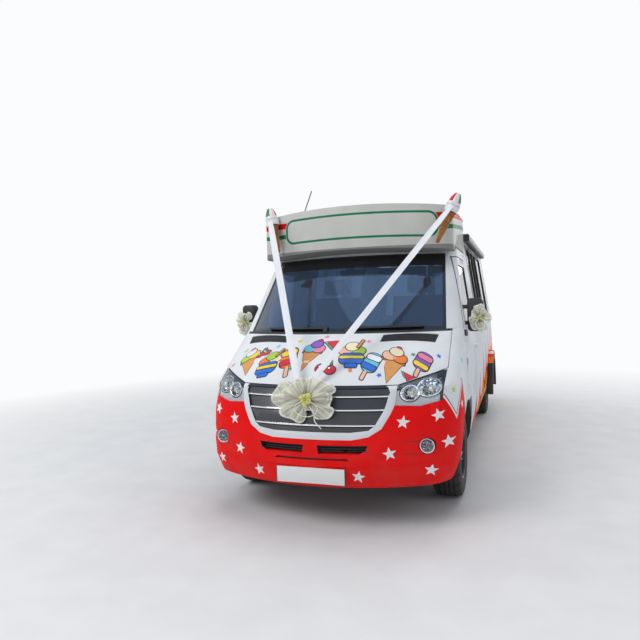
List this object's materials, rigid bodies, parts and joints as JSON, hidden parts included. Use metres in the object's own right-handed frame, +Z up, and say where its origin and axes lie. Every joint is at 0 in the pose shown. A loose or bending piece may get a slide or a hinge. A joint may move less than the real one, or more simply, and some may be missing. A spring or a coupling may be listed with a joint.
{
  "type": "ice cream truck",
  "caption": "Van-based ice cream truck with a roof sign, display cones, serving window, fold-out rear doors and ribbon bows.",
  "frame": {"origin": "on the ground under the middle of the whole vehicle, at the bottom centre of its box", "axes": "+Z up, the front faces -Y, +X is the vehicle's left side"},
  "size_m": [2.41, 5.983, 2.7094],
  "materials": {
    "white_paint": "gloss",
    "red_paint": "gloss",
    "grille_black": "satin",
    "lamp_glass": "polished",
    "lamp_silver": "polished",
    "lamp_red": "gloss",
    "black_plastic": "matte",
    "tinted_glass": "polished",
    "floor_steel": "satin",
    "chassis_steel": "satin",
    "engine_iron": "matte",
    "exhaust_steel": "satin",
    "tyre_rubber": "matte",
    "wheel_silver": "satin",
    "seat_cloth": "matte",
    "counter_steel": "brushed",
    "sign_moulding": "gloss",
    "cone_moulding": "gloss",
    "plate_white": "gloss",
    "satin_white": "satin",
    "organza": "satin"
  },
  "bodies": {
    "root": {"front_wings": "white_paint", "side_panel_left": "white_paint", "side_panel_right": "white_paint", "roof_panel": "white_paint", "rear_arch_flares": "white_paint", "front_bumper": "red_paint", "grille": "grille_black", "headlamps": "lamp_glass", "tail_lamps": "lamp_red", "scuttle": "black_plastic", "wipers": "black_plastic", "dashboard": "black_plastic", "antenna": "black_plastic", "window_trim": "black_plastic", "steering_wheel": "black_plastic", "lamp_bowls": "lamp_silver", "windscreen": "tinted_glass", "side_glass": "tinted_glass", "floor_pan": "floor_steel", "chassis_frame": "chassis_steel", "front_axle": "chassis_steel", "rear_axle": "chassis_steel", "engine_block": "engine_iron", "fuel_tank": "black_plastic", "exhaust": "exhaust_steel", "rear_step": "chassis_steel", "seats": "seat_cloth", "counter_unit": "counter_steel", "soft_serve_machine": "counter_steel", "headboard": "sign_moulding", "cones": "cone_moulding", "awning": "black_plastic", "number_plates": "plate_white", "ribbons": "satin_white"},
    "bonnet": {"bonnet": "white_paint", "bonnet_vents": "black_plastic", "bow_front": "organza"},
    "cab_door_left": {"cab_door_left": "white_paint", "cab_door_glass_left": "tinted_glass", "mirror_left": "black_plastic", "mirror_bow_left": "organza"},
    "cab_door_right": {"cab_door_right": "white_paint", "cab_door_glass_right": "tinted_glass", "mirror_right": "black_plastic", "mirror_bow_right": "organza"},
    "rear_door_left": {"rear_door_left": "white_paint", "rear_door_glass_left": "tinted_glass"},
    "rear_door_right": {"rear_door_right": "white_paint", "rear_door_glass_right": "tinted_glass"},
    "knuckle_left": {"knuckle_left": "chassis_steel"},
    "knuckle_right": {"knuckle_right": "chassis_steel"},
    "wheel_front_left": {"tyre_front_left": "tyre_rubber", "rim_front_left": "wheel_silver"},
    "wheel_front_right": {"tyre_front_right": "tyre_rubber", "rim_front_right": "wheel_silver"},
    "wheel_rear_left": {"tyre_rear_left": "tyre_rubber", "rim_rear_left": "wheel_silver"},
    "wheel_rear_right": {"tyre_rear_right": "tyre_rubber", "rim_rear_right": "wheel_silver"}
  },
  "joints": [
    {"name": "bonnet_hinge", "type": "hinge", "parent": "root", "child": "bonnet", "pos_m": [0, -1.97, 1.346], "axis": [-1, 0, 0], "range_deg": [0, 50], "deforming": ["ribbons"]},
    {"name": "cab_door_left_hinge", "type": "hinge", "parent": "root", "child": "cab_door_left", "pos_m": [1.012, -1.842, 1.2], "axis": [0, 0, -1], "range_deg": [0, 70]},
    {"name": "cab_door_right_hinge", "type": "hinge", "parent": "root", "child": "cab_door_right", "pos_m": [-1.012, -1.842, 1.2], "axis": [0, 0, 1], "range_deg": [0, 70]},
    {"name": "rear_door_left_hinge", "type": "hinge", "parent": "root", "child": "rear_door_left", "pos_m": [0.814, 2.896, 1.4], "axis": [0, 0, -1], "range_deg": [0, 180]},
    {"name": "rear_door_right_hinge", "type": "hinge", "parent": "root", "child": "rear_door_right", "pos_m": [-0.814, 2.896, 1.4], "axis": [0, 0, 1], "range_deg": [0, 180]},
    {"name": "steering_left", "type": "hinge", "parent": "root", "child": "knuckle_left", "pos_m": [0.79, -1.94, 0.35], "axis": [0, 0, 1], "range_deg": [-36, 36]},
    {"name": "steering_right", "type": "hinge", "parent": "root", "child": "knuckle_right", "pos_m": [-0.79, -1.94, 0.35], "axis": [0, 0, 1], "range_deg": [-36, 36]},
    {"name": "wheel_front_left_spin", "type": "hinge", "parent": "knuckle_left", "child": "wheel_front_left", "pos_m": [0.855, -1.94, 0.35], "axis": [1, 0, 0], "continuous": true},
    {"name": "wheel_front_right_spin", "type": "hinge", "parent": "knuckle_right", "child": "wheel_front_right", "pos_m": [-0.855, -1.94, 0.35], "axis": [1, 0, 0], "continuous": true},
    {"name": "wheel_rear_left_spin", "type": "hinge", "parent": "root", "child": "wheel_rear_left", "pos_m": [0.855, 1.725, 0.35], "axis": [1, 0, 0], "continuous": true},
    {"name": "wheel_rear_right_spin", "type": "hinge", "parent": "root", "child": "wheel_rear_right", "pos_m": [-0.855, 1.725, 0.35], "axis": [1, 0, 0], "continuous": true}
  ],
  "couplings": [
    {"joint": "steering_right", "follows": "steering_left", "ratio": 1}
  ]
}
